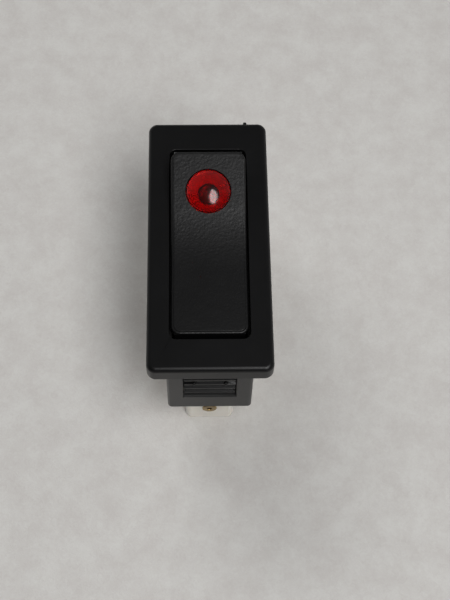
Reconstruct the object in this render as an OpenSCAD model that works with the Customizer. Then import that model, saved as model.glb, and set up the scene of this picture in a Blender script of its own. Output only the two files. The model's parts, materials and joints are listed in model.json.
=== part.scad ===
// Panel rocker switch with a round indicator lens.
//
// The origin is the centre of the flange's rear face, which seats on the panel. +Z points out of the panel,
// +Y runs along the switch to its lens end, and X runs across it. The rocker is drawn level, about its own
// pivot, and is then tilted to where it rests, with the lens end up.

/* [Bezel] */
// Length of the bezel flange
flange_l = 52; // [50:0.5:60]
// Width of the bezel flange
flange_w = 22.5; // [21:0.5:30]
// Thickness of the bezel flange
flange_t = 3.5; // [2.6:0.1:4.5]
// Corner radius of the flange, seen from the front
flange_corner = 1.7; // [1.3:0.1:3]
// Radius along the flange's front edge
flange_edge = 0.9; // [0.4:0.1:1.2]
// Corner radius of the aperture
aperture_corner = 1.35; // [0.8:0.05:2]

/* [Rocker] */
// Length of the rocker's face
rocker_l = 35.4; // [33:0.2:37]
// Width of the rocker's face
rocker_w = 13.8; // [12.6:0.1:14.2]
// Gap between the rocker's side and the aperture
rocker_side_gap = 0.35; // [0.3:0.05:0.6]
// Gap between the rocker's round ends and the aperture
rocker_end_gap = 0.65; // [0.5:0.05:1]
// Radius of the rocker's round ends about its pivot
rocker_end_r = 19.2; // [18.6:0.1:20.4]
// Height of the face's ends above the pivot
rocker_end_h = 9.3; // [8.8:0.1:10.5]
// Slope of each half of the dished face, in degrees
dish_angle = 8.5; // [5:0.5:10]
// Radius that blends the two halves of the face
dish_r = 36; // [24:1:45]
// Corner radius of the rocker's face
rocker_corner = 1.6; // [1.2:0.1:2.2]
// Width of the smooth shoulder round the raised, textured face
shoulder_w = 0.5; // [0.3:0.05:0.8]
// Drop of that shoulder below the face
shoulder_drop = 0.25; // [0.15:0.05:0.4]
// Depth of the full-width cap below the shoulder
cap_depth = 2.4; // [1.8:0.1:2.8]
// Wall over the rocker's hollow
rocker_wall = 1.5; // [1.2:0.1:2]
// Wall of the rocker's skirt
skirt_wall = 1.2; // [0.9:0.1:1.5]
// Height of the skirt's lower edge above the pivot
skirt_h = 1; // [0.5:0.1:2]
// Tilt of the rocker at each end of its throw, in degrees
throw_angle = 8; // [6:0.5:9]
// Height of the pivot, below the flange's rear face when negative
pivot_z = -3.2; // [-3.6:0.1:-3]
// Radius of the stub axles
axle_r = 1.5; // [1.2:0.1:1.8]
// Radius of the ear round each stub axle
ear_r = 2.6; // [2.2:0.1:3]
// Radius of the hollow leg that holds the plunger
leg_r = 2.6; // [2.4:0.1:3]
// Length of that leg below the pivot
leg_depth = 6; // [4.5:0.5:7]

/* [Lens and lamp] */
// Distance from the pivot to the lens along the level rocker
lens_y = 10.1; // [9.6:0.1:10.8]
// Radius of the lens
lens_r = 4.05; // [3.6:0.05:4.2]
// Height of the dome over the face
dome_h = 1.4; // [1:0.1:2]
// Wall of the lens
lens_wall = 0.8; // [0.6:0.1:1]
// Width of the flange that holds the lens from behind
lens_flange = 0.75; // [0.5:0.05:0.85]
// Radius of the lamp's glass capsule
bulb_r = 1.8; // [1.4:0.1:2]
// Distance across the rocker between the two lamp springs
spring_spread = 6.8; // [6:0.2:7.2]
// Distance from the pivot to the lamp studs along the level rocker
stud_y = 13; // [12.6:0.1:13.4]
// Radius of the lamp studs
stud_r = 1.5; // [1.2:0.1:1.5]

/* [Housing] */
// Length of the housing
housing_l = 47.3; // [46.8:0.1:49]
// Width of the housing
housing_w = 15.9; // [15.7:0.1:18]
// Depth of the housing behind the panel
housing_d = 18.95; // [18.6:0.05:22]
// Wall of the housing
housing_wall = 1.2; // [1.1:0.05:1.5]
// Corner radius of the housing, seen from the front
housing_corner = 0.8; // [0.4:0.1:1.2]
// Gap between the rocker's round ends and the cross walls
chamber_end_gap = 0.9; // [0.6:0.1:1]
// Thickness of the cross walls
cross_wall = 0.8; // [0.6:0.1:1]
// Width of the window in each end wall
window_w = 9.8; // [8:0.2:11]
// Depth of that window below the panel
window_d = 14.1; // [11:0.1:15]
// Bevel round the window
window_bevel = 0.2; // [0.1:0.05:0.6]

/* [Latch legs] */
// Number of teeth on each latch leg, the last cut short by the leg's tip
tooth_count = 6; // [4:1:8]
// Height of one tooth
tooth_pitch = 2.1; // [1.2:0.1:2.4]
// Distance from the panel's plane down to the first tooth
tooth_start = 1.9; // [1:0.1:2.4]
// Depth of a tooth
tooth_depth = 0.55; // [0.3:0.05:0.7]
// Thickness of a latch leg behind its teeth
latch_t = 1.1; // [0.9:0.1:1.3]
// Reach of the first tooth past the housing's end wall
latch_proud = 0.2; // [0:0.05:0.3]
// Lean of the leg inwards, from its first tooth to its last
latch_lean = 0.6; // [0.3:0.05:0.7]
// Distance between the two pips on each latch leg
pip_spread = 5.8; // [4:0.2:7]
// Radius of those pips
pip_r = 0.4; // [0.25:0.05:0.5]

/* [Terminal base] */
// Thickness of the deck that closes the housing
deck_t = 3; // [2.4:0.1:3.2]
// Width of the connector shroud
shroud_w = 9.2; // [8.8:0.1:11]
// Distance from the housing's end to the shroud's end
shroud_setback = 1.2; // [0.8:0.1:2]
// Depth of the shroud below the housing
shroud_d = 8.6; // [8:0.1:12]
// Wall of the shroud
shroud_wall = 1; // [0.8:0.1:1.1]
// Corner radius of the shroud
shroud_corner = 1.2; // [1:0.1:2]
// Radius of the tubular rivet's head
rivet_head_r = 1.4; // [1.2:0.1:1.7]
// Radius of the rivet's shank
rivet_r = 0.85; // [0.6:0.05:1]
// Radius of the hole through the rivet
rivet_bore_r = 0.45; // [0.3:0.05:0.5]
// Thickness of each rivet head
rivet_head_t = 0.35; // [0.25:0.05:0.5]
// Distance from the housing's lower edge down to the rivet
rivet_drop = 3.4; // [2.4:0.1:5]

/* [Terminals and contacts] */
// Thickness of the terminal strip
strip_t = 0.8; // [0.5:0.1:0.8]
// Width of the terminal blades
blade_w = 6.3; // [4.8:0.1:6.3]
// Distance between neighbouring blades
blade_pitch = 10; // [9.6:0.1:10.4]
// Distance that the blades stay inside the shroud's rim
blade_recess = 0.5; // [0.3:0.1:1]
// Radius of the hole near each blade's tip
blade_hole_r = 0.9; // [0.6:0.1:1]
// Distance from the fulcrum to each contact
contact_y = 9; // [8.4:0.1:9.4]
// Radius of the contacts
contact_r = 1.6; // [1.2:0.1:1.7]
// Thickness of the contact faces
contact_t = 0.5; // [0.4:0.05:0.6]
// Radius of the contacts' rivet shanks
shank_r = 0.7; // [0.5:0.05:0.9]
// Gap between the closed contacts
contact_gap = 0.12; // [0.08:0.01:0.2]
// Tilt of the contact arm at each end of its throw, in degrees
arm_angle = 6; // [4:0.5:6]
// Half the length of the contact arm
arm_reach = 11; // [10.8:0.1:11.6]
// Width of the contact arm
arm_w = 6.3; // [5.6:0.1:7]
// Thickness of the contact arm
arm_t = 0.6; // [0.4:0.05:0.8]
// Width of the fulcrum's edge between the horns
fulcrum_w = 3.8; // [3.2:0.1:4.2]
// Height of the horns above the fulcrum's axis
horn_h = 2; // [1.4:0.1:2.4]

/* [Plunger and springs] */
// Radius of the plunger
plunger_r = 1.45; // [1.2:0.05:1.6]
// Gap between the plunger's nose and the arm as they pass mid-travel
nose_gap = 0.05; // [0.04:0.01:0.1]
// Length of the plunger
plunger_l = 8; // [6.5:0.5:8.5]
// Height of the plunger bore's blind end above the pivot
bore_top_h = 3.6; // [3:0.1:4.2]
// Wire radius of the plunger spring
plunger_wire_r = 0.17; // [0.12:0.01:0.2]
// Turns of the plunger spring
plunger_turns = 6; // [4:1:8]
// Radius of the lamp springs, to the middle of the wire
lamp_coil_r = 1.15; // [0.9:0.05:1.2]
// Wire radius of the lamp springs
lamp_wire_r = 0.2; // [0.14:0.01:0.22]
// Turns of each lamp spring
lamp_turns = 10; // [7:1:11]

/* [Fits] */
// Running gap between an axle or plunger and its bore
run_gap = 0.05; // [0.03:0.01:0.08]
// Gap between pieces that are fitted together and don't move
fit_gap = 0.05; // [0.03:0.01:0.1]
// Gap between a sprung part and what it presses on
spring_gap = 0.15; // [0.1:0.05:0.3]

/* [Hidden] */
$fn = 64;

// How far a cut runs past the solid that it cuts.
past = 1;
// Far enough to pass right through the switch.
through = 60;
// A hair, by which a cut breaks through a face that it would only touch.
skin = 0.01;
// How far the slopes of the rocker's face lie inside its round trough.
slope_bite = 0.03;

// Rocker, lens and lamp
aperture_w = rocker_w + 2 * rocker_side_gap;
aperture_l = 2 * (rocker_end_r + rocker_end_gap);
dish_centre_h = rocker_end_h - rocker_l / 2 * tan(dish_angle) + (dish_r - slope_bite) / cos(dish_angle);
lens_h = rocker_end_h - (rocker_l / 2 - lens_y) * tan(dish_angle);
chamber_w = housing_w - 2 * housing_wall;
skirt_gap = 0.45;
skirt_w = chamber_w - 2 * skirt_gap;
skirt_inner_w = skirt_w - 2 * skirt_wall;
// How far the axles start inside the skirt, and how far they end inside the housing's sides.
axle_root = 0.2;
axle_recess = 0.35;
// Cover between the top of the plunger's leg and the face above it.
leg_cover = 0.8;
lens_flange_r = lens_r + lens_flange;
lens_flange_t = 0.8;
lens_gap = 0.2;
lens_hole_r = lens_r + lens_gap;
dome_r = (lens_r * lens_r + dome_h * dome_h) / (2 * dome_h);

// Carrier, measured down from the face along the lens axis
lens_foot = rocker_wall + fit_gap + lens_flange_t;
carrier_top = lens_foot + fit_gap;
carrier_rim_t = 1;
carrier_tube_l = 6;
carrier_tube_r = bulb_r + 1.4;
carrier_plate_t = 1.5;
carrier_plate_reach = 3;
carrier_plate_margin = 0.7;
carrier_side_gap = 0.3;
// Upper side of the carrier's plate, below the face at the lens.
carrier_drop = 5.76;
carrier_floor_h = lens_h - carrier_drop;
bulb_seat_depth = 4;
reflector_depth = 2;
reflector_low_r = bulb_r + 0.5;
reflector_high_r = lens_r - 0.4;
stud_t = 0.6;
stud_low_h = carrier_floor_h - carrier_plate_t - stud_t;
cap_wall = 0.1;
cap_r = bulb_r + cap_wall;
cap_l = 2.2;
bulb_glass_r = bulb_r - cap_wall;
bulb_straight_l = 1.7;

// Housing and base
deck_low_z = -housing_d;
deck_z = -housing_d + deck_t;
chamber_l = 2 * (rocker_end_r + chamber_end_gap);
pocket_y = chamber_l / 2 + cross_wall;
inner_end_y = housing_l / 2 - housing_wall;
deck_l = 2 * (inner_end_y - fit_gap);
rebate = 0.2;
deck_w = chamber_w + 2 * (rebate - fit_gap);
shroud_l = housing_l - 2 * shroud_setback;
rim_z = -housing_d - shroud_d;
rivet_z = -housing_d - rivet_drop;
socket_w = shroud_w - 2 * shroud_wall;
socket_l = shroud_l - 2 * shroud_wall;

// Latch legs
latch_side_gap = 0.15;
latch_w = window_w - 2 * latch_side_gap;
latch_tip_gap = 0.4;
latch_tip_z = -window_d + latch_tip_gap;
latch_crest = housing_l / 2 + latch_proud;
// Chamfer over the tooth's crest, the crest's flat, and the rise at the root below it.
tooth_lead = 0.15;
tooth_land = 0.35;
tooth_root = 0.1;
// The pips stand on this tooth, counted from the first.
pip_tooth = 3;

// Terminals, contact arm and plunger
shelf_z = deck_z + strip_t;
edge_r = strip_t / 2;
arm_low = edge_r + run_gap;
fixed_top_z = shelf_z + contact_t;
// Heads of the contacts' shanks, and the radius of the moving face in contact radii.
tail_head_r = 1.1;
arm_head_t = 0.25;
contact_dome = 3;
arm_corner = 2;
notch_gap = 0.35;
fulcrum_z = fixed_top_z + contact_gap + contact_y * sin(arm_angle) + (contact_t - arm_low) * cos(arm_angle);
arm_top_z = fulcrum_z + arm_low + arm_t;
nose_reach = pivot_z - arm_top_z - nose_gap;
coil_gap = 0.1;
blade_low_z = rim_z + blade_recess;
blade_ys = [for (i = [-1.5 : 1 : 1.5]) i * blade_pitch];
tail_w = 4;
tail_end_margin = 0.5;
blade_tip = 1;
tail_y = -socket_l / 2 + fit_gap;
stud_rest_y = stud_y * cos(throw_angle) - stud_low_h * sin(throw_angle);
stud_rest_z = pivot_z + stud_y * sin(throw_angle) + stud_low_h * cos(throw_angle);
lamp_spring_top_z = stud_rest_z - stud_r * sin(throw_angle) - spring_gap;
spring_seat_margin = 0.1;
spring_seat_r = lamp_coil_r + lamp_wire_r + spring_seat_margin;

// ---- Shared shapes ----

// A flat outline with four round corners.
module round_rect(l, w, r) {
    union() {
        square([w - 2 * r, l], center = true);
        square([w, l - 2 * r], center = true);
        for (x = [-1, 1], y = [-1, 1]) translate([x * (w / 2 - r), y * (l / 2 - r)]) circle(r = r);
    }
}

// A block with four round upright edges, from z_low to z_high.
module round_block(l, w, r, z_low, z_high) {
    translate([0, 0, z_low]) linear_extrude(z_high - z_low) round_rect(l, w, r);
}

// A plain block between two heights, centred on X and Y.
module centred_block(l, w, z_low, z_high) {
    translate([-w / 2, -l / 2, z_low]) cube([w, l, z_high - z_low]);
}

// Extrudes a side outline, drawn as [y, z], along X and centres it.
module along_x(w) {
    rotate([90, 0, 90]) linear_extrude(w, center = true) children();
}

// A cylinder along X, centred on the origin.
module rod_x(r, l) {
    rotate([0, 90, 0]) cylinder(r = r, h = l, center = true);
}

// Puts what is drawn level about the pivot where the rocker rests.
module rocker_rest() {
    translate([0, 0, pivot_z]) rotate([throw_angle, 0, 0]) children();
}

// Puts what is drawn along Z where the lens axis is, with Z = 0 on the face.
module lens_axis() {
    translate([0, lens_y, lens_h]) rotate([dish_angle, 0, 0]) children();
}

// Puts what is drawn about the fulcrum's axis where the contact arm rests.
module arm_rest() {
    translate([0, 0, fulcrum_z]) rotate([-arm_angle, 0, 0]) children();
}

// One point of a coil: an even helix whose first and last turns lie flat.
function coil_z(t, turns, h) =
    let (u = t / turns, flat = 0.75 / turns)
    h * (u < flat ? 0 : u > 1 - flat ? 1 : (u - flat) / (1 - 2 * flat));

// A round-wire coil from z = 0 to z = h, wire included, swept as one closed skin.
module coil(coil_r, wire_r, turns, h) {
    sides = 8;
    steps = 14;
    rings = turns * steps;
    points = [for (i = [0 : rings])
        let (a = 360 * i / steps, z = wire_r + coil_z(i / steps, turns, h - 2 * wire_r))
        for (j = [0 : sides - 1])
            let (b = 360 * j / sides, r = coil_r + wire_r * cos(b))
            [r * cos(a), r * sin(a), z + wire_r * sin(b)]];
    skin = [for (i = [0 : rings - 1], j = [0 : sides - 1])
        [i * sides + j, i * sides + (j + 1) % sides,
         (i + 1) * sides + (j + 1) % sides, (i + 1) * sides + j]];
    first = [for (j = [sides - 1 : -1 : 0]) j];
    last = [for (j = [0 : sides - 1]) rings * sides + j];
    polyhedron(points, concat(skin, [first, last]), convexity = 10);
}

// ---- Bezel ----

// One quarter of the flange's rim: its section, drawn from the corner's centre outwards.
module rim_section() {
    r = flange_corner;
    union() {
        square([r, flange_t - flange_edge]);
        square([r - flange_edge, flange_t]);
        intersection() {
            translate([r - flange_edge, flange_t - flange_edge]) circle(r = flange_edge);
            square([r, flange_t]);
        }
    }
}

// The flange with a rounded front edge, made of straight runs and turned corners.
module soft_flange() {
    dx = flange_w / 2 - flange_corner;
    dy = flange_l / 2 - flange_corner;
    union() {
        centred_block(2 * dy, 2 * dx, 0, flange_t);
        for (s = [0, 1]) {
            rotate([0, 0, 180 * s]) translate([dx, dy, 0]) rotate([90, 0, 0])
                linear_extrude(2 * dy) rim_section();
            rotate([0, 0, 90 + 180 * s]) translate([dy, dx, 0]) rotate([90, 0, 0])
                linear_extrude(2 * dx) rim_section();
        }
        for (x = [0, 1], y = [0, 1]) mirror([x, 0, 0]) mirror([0, y, 0])
            translate([dx, dy, 0]) rotate_extrude(angle = 90) rim_section();
    }
}

// How far a latch leg leans inwards at a height z.
function latch_lean_at(z) = latch_lean * (-tooth_start - z) / (tooth_count * tooth_pitch);

// The side outline of one latch leg at the +Y end, with its saw teeth outwards and its tip cut square.
module latch_outline() {
    root = latch_crest - tooth_depth;
    back = root - latch_t;
    saw_end = -tooth_start - tooth_count * tooth_pitch;
    teeth = [for (i = [0 : tooth_count - 1])
        let (top = -tooth_start - i * tooth_pitch, low = top - tooth_pitch)
        each [[root - latch_lean_at(top), top],
              [latch_crest - latch_lean_at(top), top - tooth_lead],
              [latch_crest - latch_lean_at(top), top - tooth_lead - tooth_land],
              [root - latch_lean_at(low), low + tooth_root]]];
    intersection() {
        polygon(concat([[back, past], [root, past]], teeth, [[back - latch_lean_at(saw_end), saw_end]]));
        translate([0, latch_tip_z]) square([through, through]);
    }
}

// A round pip on each side of one tooth's upper edge.
module latch_pips() {
    z = -tooth_start - pip_tooth * tooth_pitch - tooth_lead;
    for (side = [-1, 1]) translate([side * pip_spread / 2, latch_crest - latch_lean_at(z) - pip_r / 2, z])
        sphere(r = pip_r, $fn = 32);
}

module bezel_frame() {
    color([0.07, 0.07, 0.072]) difference() {
        union() {
            soft_flange();
            for (side = [0, 1]) mirror([0, side, 0]) {
                along_x(latch_w) latch_outline();
                latch_pips();
            }
        }
        round_block(aperture_l, aperture_w, aperture_corner, -past, flange_t + past);
    }
}

// ---- Housing ----

// The window through one end wall, with a bevel round its outer edge that meets in mitres.
module window_cut() {
    outer = housing_l / 2;
    b = window_bevel;
    half = window_w / 2;
    translate([-half, inner_end_y - past, -window_d]) cube([window_w, housing_wall + 2 * past, window_d + past]);
    intersection() {
        along_x(window_w + 2 * b) polygon([
            [outer - b, past], [outer + past, past],
            [outer + past, -window_d - b - past], [outer - b, -window_d]]);
        translate([0, 0, -window_d - through / 2]) linear_extrude(through) polygon([
            [-half, outer - b], [half, outer - b],
            [half + b + past, outer + past], [-half - b - past, outer + past]]);
    }
}

module housing() {
    color([0.2, 0.2, 0.205]) difference() {
        round_block(housing_l, housing_w, housing_corner, -housing_d, 0);
        centred_block(chamber_l, chamber_w, -housing_d - past, past);
        centred_block(2 * inner_end_y, chamber_w + 2 * rebate, -housing_d - past, deck_z);
        for (side = [0, 1]) mirror([0, side, 0]) {
            translate([-window_w / 2, pocket_y, -housing_d]) cube([window_w, inner_end_y - pocket_y, through]);
            window_cut();
        }
        translate([-blade_w / 2 - fit_gap, -pocket_y - past, deck_z - past])
            cube([blade_w + 2 * fit_gap, cross_wall + 2 * past, strip_t + fit_gap + past]);
        translate([0, 0, pivot_z]) rod_x(axle_r + run_gap, through);
    }
}

// ---- Terminal base ----

// The slot in the deck for one blade.
module blade_slot(y) {
    translate([-blade_w / 2 - fit_gap, y - strip_t / 2 - fit_gap, -through])
        cube([blade_w + 2 * fit_gap, strip_t + 2 * fit_gap, 2 * through]);
}

module terminal_base() {
    color([0.83, 0.8, 0.75]) difference() {
        union() {
            round_block(deck_l, deck_w, housing_corner / 2, deck_low_z, deck_z);
            round_block(shroud_l, shroud_w, shroud_corner, rim_z, deck_low_z);
        }
        round_block(socket_l, socket_w, shroud_corner - shroud_wall / 2, rim_z - past, deck_low_z);
        for (y = blade_ys) blade_slot(y);
        translate([-tail_w / 2 - fit_gap, tail_y - fit_gap, -housing_d - past])
            cube([tail_w + 2 * fit_gap, strip_t + 2 * fit_gap, deck_t + 2 * past]);
        for (side = [-1, 1]) translate([0, side * contact_y, deck_z - contact_t])
            cylinder(r = contact_r, h = contact_t + past);
        translate([0, -shroud_l / 2, rivet_z]) rotate([90, 0, 0])
            cylinder(r = rivet_r + fit_gap, h = 2 * shroud_wall + past, center = true);
    }
}

// The tubular rivet clamps the changeover terminal's tail to the shroud's end wall.
module end_rivet() {
    grip = tail_y + strip_t + shroud_l / 2 + 2 * fit_gap;
    color([0.72, 0.55, 0.28]) translate([0, -shroud_l / 2 - fit_gap, rivet_z]) rotate([-90, 0, 0]) difference() {
        union() {
            translate([0, 0, -rivet_head_t]) cylinder(r = rivet_head_r, h = rivet_head_t);
            cylinder(r = rivet_r, h = grip);
            translate([0, 0, grip]) cylinder(r = rivet_head_r, h = rivet_head_t);
        }
        cylinder(r = rivet_bore_r, h = through, center = true);
    }
}

// ---- Terminals ----

// A blade with bevelled tip corners and its hole, from the shelf down to its tip.
module blade(y) {
    translate([0, y, 0]) rotate([90, 0, 0]) linear_extrude(strip_t, center = true) difference() {
        polygon([
            [-blade_w / 2, shelf_z], [blade_w / 2, shelf_z],
            [blade_w / 2, blade_low_z + blade_tip], [blade_w / 2 - blade_tip, blade_low_z],
            [-blade_w / 2 + blade_tip, blade_low_z], [-blade_w / 2, blade_low_z + blade_tip]]);
        translate([0, blade_low_z + 3 * blade_hole_r]) circle(r = blade_hole_r);
    }
}

// A flat run of the strip on the deck, between two places along Y.
module shelf(y_from, y_to, w = blade_w) {
    translate([-w / 2, y_from, deck_z]) cube([w, y_to - y_from, strip_t]);
}

// The hole in a shelf for a contact's shank.
module shank_hole(y) {
    translate([0, y, deck_z - past]) cylinder(r = shank_r + fit_gap, h = strip_t + 2 * past);
}

// The round end of a shelf under a lamp spring, and the neck that joins it to the shelf.
module spring_ear(side, y_from) {
    x = side * spring_spread / 2;
    translate([x, stud_rest_y, deck_z]) cylinder(r = spring_seat_r, h = strip_t);
    translate([x - spring_seat_r, min(y_from, stud_rest_y), deck_z])
        cube([2 * spring_seat_r, abs(stud_rest_y - y_from), strip_t]);
}

// Blade, foot, and the upright whose round edge is the fulcrum; the horns keep the arm in line.
module common_terminal() {
    y = blade_ys[1];
    color([0.8, 0.76, 0.68]) union() {
        blade(y);
        shelf(y - strip_t / 2, edge_r);
        translate([-fulcrum_w / 2, -edge_r, deck_z]) cube([fulcrum_w, strip_t, fulcrum_z - deck_z]);
        translate([0, 0, fulcrum_z]) rod_x(edge_r, fulcrum_w);
        for (side = [0, 1]) mirror([side, 0, 0])
            translate([fulcrum_w / 2, -edge_r, deck_z])
                cube([(blade_w - fulcrum_w) / 2, strip_t, fulcrum_z + horn_h - deck_z]);
    }
}

module load_terminal() {
    y = blade_ys[2];
    color([0.8, 0.76, 0.68]) difference() {
        union() {
            blade(y);
            shelf(y - strip_t / 2, contact_y + contact_r);
            spring_ear(1, contact_y);
        }
        shank_hole(contact_y);
    }
}

module changeover_terminal() {
    y = blade_ys[0];
    color([0.8, 0.76, 0.68]) difference() {
        union() {
            blade(y);
            shelf(tail_y, -contact_y + contact_r);
            translate([-tail_w / 2, tail_y, rivet_z - rivet_head_r - tail_end_margin])
                cube([tail_w, strip_t, shelf_z - rivet_z + rivet_head_r + tail_end_margin]);
        }
        shank_hole(-contact_y);
        translate([0, tail_y, rivet_z]) rotate([90, 0, 0])
            cylinder(r = rivet_r + fit_gap, h = 2 * strip_t + past, center = true);
    }
}

module lamp_terminal() {
    y = blade_ys[3];
    color([0.8, 0.76, 0.68]) union() {
        blade(y);
        spring_ear(-1, y);
    }
}

// ---- Contacts ----

// A contact that is riveted in a strip: face up, shank through the strip, and a tail head below.
module contact_rivet(grip, tail_r, tail_t) {
    union() {
        cylinder(r = contact_r, h = contact_t);
        translate([0, 0, -grip]) cylinder(r = shank_r, h = grip);
        translate([0, 0, -grip - tail_t]) cylinder(r = tail_r, h = tail_t);
    }
}

module fixed_contact(side) {
    color([0.86, 0.86, 0.84]) translate([0, side * contact_y, shelf_z])
        contact_rivet(strip_t, tail_head_r, contact_t - fit_gap);
}

// The moving contact's face is domed, so that it rolls a little as it closes.
module moving_contact(side) {
    dome = contact_dome * contact_r;
    color([0.86, 0.86, 0.84]) arm_rest() translate([0, side * contact_y, arm_low]) rotate([180, 0, 0])
        union() {
            intersection() {
                cylinder(r = contact_r, h = contact_t);
                translate([0, 0, contact_t - dome]) sphere(r = dome);
            }
            translate([0, 0, -arm_t]) cylinder(r = shank_r, h = arm_t);
            translate([0, 0, -arm_t - arm_head_t]) cylinder(r = tail_head_r, h = arm_head_t);
        }
}

// ---- Contact arm ----

module contact_arm() {
    notch = strip_t / 2 + notch_gap;
    color([0.76, 0.5, 0.3]) arm_rest() difference() {
        translate([0, 0, arm_low]) linear_extrude(arm_t) difference() {
            round_rect(2 * arm_reach, arm_w, arm_corner);
            for (side = [-1, 1]) {
                translate([side * (fulcrum_w / 2 + arm_w / 2), 0]) square([arm_w, 2 * notch], center = true);
                translate([0, side * contact_y]) circle(r = shank_r + fit_gap);
            }
        }
    }
}

// ---- Rocker ----

// All that lies above the dished face, as [y, z]; drop lowers it. A round trough and its two slopes, which
// cross the round a hair inside it, so that they meet at a clear point.
module above_face(drop = 0) {
    r = dish_r + drop;
    translate([0, dish_centre_h]) {
        circle(r = r, $fn = 128);
        for (side = [0, 1]) mirror([side, 0]) rotate(dish_angle) translate([0, slope_bite - r])
            square([through, through]);
    }
}

// The side outline of the level rocker: a flat-ended cap over round ends.
module rocker_side() {
    r = rocker_end_r;
    half = rocker_l / 2;
    difference() {
        union() {
            intersection() {
                circle(r = r, $fn = 128);
                translate([-r, skirt_h]) square([2 * r, sqrt(r * r - half * half) - skirt_h]);
            }
            translate([-half, skirt_h]) square([rocker_l, rocker_end_h + past - skirt_h]);
        }
        above_face(2 * shoulder_drop);
    }
}

// The cap, from its dished top down to an underside that follows it.
module rocker_cap(l, w, r, drop, depth) {
    intersection() {
        along_x(w + past) difference() {
            translate([-l / 2 - past, 0]) square([l + 2 * past, rocker_end_h + past]);
            above_face(drop);
        }
        along_x(w + 2 * past) above_face(drop + depth);
        round_block(l, w, r, 0, rocker_end_h + past);
    }
}

module rocker() {
    hollow_l = rocker_l - 2 * rocker_wall;
    color([0.075, 0.075, 0.08]) rocker_rest() difference() {
        union() {
            difference() {
                union() {
                    rocker_cap(rocker_l, rocker_w, rocker_corner, shoulder_drop, cap_depth);
                    rocker_cap(rocker_l - 2 * shoulder_w, rocker_w - 2 * shoulder_w,
                        rocker_corner - shoulder_w, 0, 2 * shoulder_drop);
                    along_x(skirt_w) rocker_side();
                }
                along_x(skirt_inner_w) difference() {
                    translate([-hollow_l / 2, 0]) square([hollow_l, rocker_end_h]);
                    above_face(rocker_wall);
                }
            }
            for (side = [0, 1]) mirror([side, 0, 0]) {
                translate([skirt_w / 2 - skirt_wall / 2, 0, 0]) rod_x(ear_r, skirt_wall);
                translate([skirt_w / 2 - skirt_wall, -ear_r, 0]) cube([skirt_wall, 2 * ear_r, skirt_h + past]);
                translate([skirt_w / 2 - axle_root, 0, 0]) rotate([0, 90, 0])
                    cylinder(r = axle_r, h = (housing_w - skirt_w) / 2 + axle_root - axle_recess);
            }
            translate([0, 0, -leg_depth]) cylinder(r = leg_r, h = leg_depth + dish_centre_h - dish_r - leg_cover);
        }
        translate([0, 0, -leg_depth - past]) cylinder(r = plunger_r + run_gap, h = leg_depth + past + bore_top_h);
        lens_axis() cylinder(r = lens_hole_r, h = 2 * (rocker_wall + past), center = true);
    }
}

// ---- Lens and lamp ----

module lens() {
    color([0.75, 0.03, 0.03, 0.75]) rocker_rest() lens_axis() difference() {
        union() {
            intersection() {
                translate([0, 0, dome_h - dome_r]) sphere(r = dome_r, $fn = 96);
                cylinder(r = lens_r, h = dome_h);
            }
            translate([0, 0, -lens_foot]) cylinder(r = lens_r, h = lens_foot);
            translate([0, 0, -lens_foot]) cylinder(r = lens_flange_r, h = lens_flange_t);
        }
        intersection() {
            translate([0, 0, dome_h - dome_r]) sphere(r = dome_r - lens_wall, $fn = 96);
            translate([0, 0, -lens_foot - past]) cylinder(r = lens_r - lens_wall, h = lens_foot + past + dome_h);
        }
    }
}

module lamp_carrier() {
    color([0.12, 0.12, 0.125]) rocker_rest() difference() {
        union() {
            lens_axis() {
                translate([0, 0, -carrier_top - carrier_rim_t]) cylinder(r = lens_flange_r, h = carrier_rim_t);
                translate([0, 0, -carrier_top - carrier_tube_l + carrier_rim_t])
                    cylinder(r = carrier_tube_r, h = carrier_tube_l - carrier_rim_t);
            }
            translate([-skirt_inner_w / 2 + carrier_side_gap, lens_y - carrier_plate_reach,
                carrier_floor_h - carrier_plate_t])
                cube([skirt_inner_w - 2 * carrier_side_gap,
                    stud_y + stud_r + carrier_plate_margin - lens_y + carrier_plate_reach, carrier_plate_t]);
        }
        lens_axis() {
            translate([0, 0, -carrier_top - reflector_depth])
                cylinder(r1 = reflector_low_r, r2 = reflector_high_r, h = reflector_depth + skin);
            translate([0, 0, -carrier_top - bulb_seat_depth]) cylinder(r = cap_r + fit_gap, h = bulb_seat_depth);
        }
    }
}

module lamp_bulb() {
    color([0.95, 0.9, 0.85, 0.6]) rocker_rest() lens_axis()
        translate([0, 0, -carrier_top - bulb_seat_depth + cap_l]) {
            cylinder(r = bulb_glass_r, h = bulb_straight_l);
            translate([0, 0, bulb_straight_l]) sphere(r = bulb_glass_r);
        }
}

module lamp_cap() {
    color([0.78, 0.76, 0.7]) rocker_rest() lens_axis()
        translate([0, 0, -carrier_top - bulb_seat_depth + fit_gap]) cylinder(r = cap_r, h = cap_l - 2 * fit_gap);
}

module contact_stud(side) {
    color([0.75, 0.6, 0.32]) rocker_rest() translate([side * spring_spread / 2, stud_y, stud_low_h])
        cylinder(r = stud_r, h = stud_t - fit_gap);
}

// ---- Plunger and springs ----

module plunger() {
    color([0.55, 0.36, 0.2]) rocker_rest() translate([0, 0, -nose_reach]) union() {
        translate([0, 0, plunger_r]) sphere(r = plunger_r);
        translate([0, 0, plunger_r]) cylinder(r = plunger_r, h = plunger_l - plunger_r);
    }
}

module plunger_spring() {
    low = plunger_l - nose_reach + spring_gap;
    color([0.7, 0.7, 0.72]) rocker_rest() translate([0, 0, low])
        coil(plunger_r - plunger_wire_r - coil_gap, plunger_wire_r, plunger_turns, bore_top_h - spring_gap - low);
}

module lamp_spring(side) {
    color([0.7, 0.7, 0.72]) translate([side * spring_spread / 2, stud_rest_y, shelf_z + spring_gap])
        coil(lamp_coil_r, lamp_wire_r, lamp_turns, lamp_spring_top_z - shelf_z - spring_gap);
}

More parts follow.
